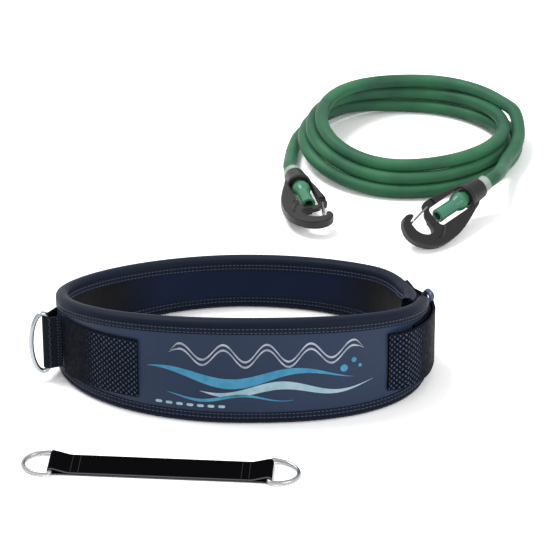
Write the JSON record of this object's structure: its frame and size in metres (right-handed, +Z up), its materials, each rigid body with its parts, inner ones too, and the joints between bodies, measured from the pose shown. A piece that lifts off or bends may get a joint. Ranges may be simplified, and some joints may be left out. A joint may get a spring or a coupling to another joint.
{
  "type": "stationary swim tether",
  "caption": "Padded waist belt with steel rings, a coiled elastic tube with a snap hook at each end, and a short webbing anchor strap, laid out on a floor.",
  "frame": {"origin": "on the floor, at the centre of the footprint of every member but the free tube", "axes": "+X to the right of the belt as its front faces the viewer, +Y from the strap in front to the tube behind, +Z up"},
  "size_m": [0.4304, 0.6229, 0.089],
  "materials": {
    "navy_face": "satin",
    "foam": "matte",
    "dark_lining": "matte",
    "navy_tape": "matte",
    "black_webbing": "matte",
    "black_tape": "matte",
    "steel": "polished",
    "grey_steel": "satin",
    "green_latex": "satin",
    "black_nylon": "satin",
    "clear_plastic": "gloss",
    "white_plastic": "satin"
  },
  "bodies": {
    "waist_belt": {"belt_face": "navy_face", "belt_core": "foam", "belt_lining": "dark_lining", "top_binding": "navy_tape", "bottom_binding": "navy_tape", "left_side_webbing": "black_webbing", "left_ring_tab": "black_tape", "right_side_webbing": "black_webbing", "loop_patch": "black_tape", "hook_patch": "black_tape", "adjuster_tab": "black_tape", "adjuster_ring": "grey_steel"},
    "belt_ring": {"left_belt_ring": "steel"},
    "elastic_tube": {"tube_coil": "green_latex", "tube_lead_left": "green_latex", "tube_lead_right": "green_latex", "left_tube_end": "green_latex", "left_clear_sleeve": "clear_plastic", "left_bead": "white_plastic", "right_tube_end": "green_latex", "right_clear_sleeve": "clear_plastic", "right_bead": "white_plastic"},
    "left_hook": {"left_hook_body": "black_nylon"},
    "left_gate": {"left_gate_wire": "steel"},
    "right_hook": {"right_hook_body": "black_nylon"},
    "right_gate": {"right_gate_wire": "steel"},
    "anchor_strap": {"anchor_webbing": "black_webbing"},
    "left_strap_ring": {"strap_ring_left": "steel"},
    "right_strap_ring": {"strap_ring_right": "steel"}
  },
  "joints": [
    {"name": "belt_ring_swing", "type": "hinge", "parent": "waist_belt", "child": "belt_ring", "pos_m": [-0.18012, -0.08218, 0.03379], "axis": [0, 0.1288, 0.9917], "range_deg": [-80, 80]},
    {"name": "tube_lift", "type": "slide", "parent": "waist_belt", "child": "elastic_tube", "axis": [0, 0, 1], "range_m": [0, 0.15]},
    {"name": "left_hook_swivel", "type": "hinge", "parent": "elastic_tube", "child": "left_hook", "pos_m": [0.01975, 0.22581, 0.0116], "axis": [0.2334, -0.972, 0.0262], "range_deg": [-35, 20]},
    {"name": "left_gate_pivot", "type": "hinge", "parent": "left_hook", "child": "left_gate", "pos_m": [0.04515, 0.16971, 0.01318], "axis": [0.0061, -0.0255, -0.9997], "range_deg": [0, 32], "stiffness_Nm_per_rad": 0.004, "springref_deg": -28.65},
    {"name": "right_hook_swivel", "type": "hinge", "parent": "elastic_tube", "child": "right_hook", "pos_m": [0.18585, 0.17731, 0.0279], "axis": [-0.7195, -0.6804, -0.1392], "range_deg": [0, 60]},
    {"name": "right_gate_pivot", "type": "hinge", "parent": "right_hook", "child": "right_gate", "pos_m": [0.13546, 0.14189, 0.02686], "axis": [0.3642, -0.5403, 0.7586], "range_deg": [0, 32], "stiffness_Nm_per_rad": 0.004, "springref_deg": -28.65},
    {"name": "strap_lift", "type": "slide", "parent": "waist_belt", "child": "anchor_strap", "axis": [0, 0, 1], "range_m": [0, 0.15]},
    {"name": "left_strap_ring_swing", "type": "hinge", "parent": "anchor_strap", "child": "left_strap_ring", "pos_m": [-0.16871, -0.20528, 0.0032], "axis": [0.068, 0.9977, 0], "range_deg": [0, 150]},
    {"name": "right_strap_ring_swing", "type": "hinge", "parent": "anchor_strap", "child": "right_strap_ring", "pos_m": [-0.0012, -0.2167, 0.0032], "axis": [-0.068, -0.9977, 0], "range_deg": [0, 150]}
  ]
}
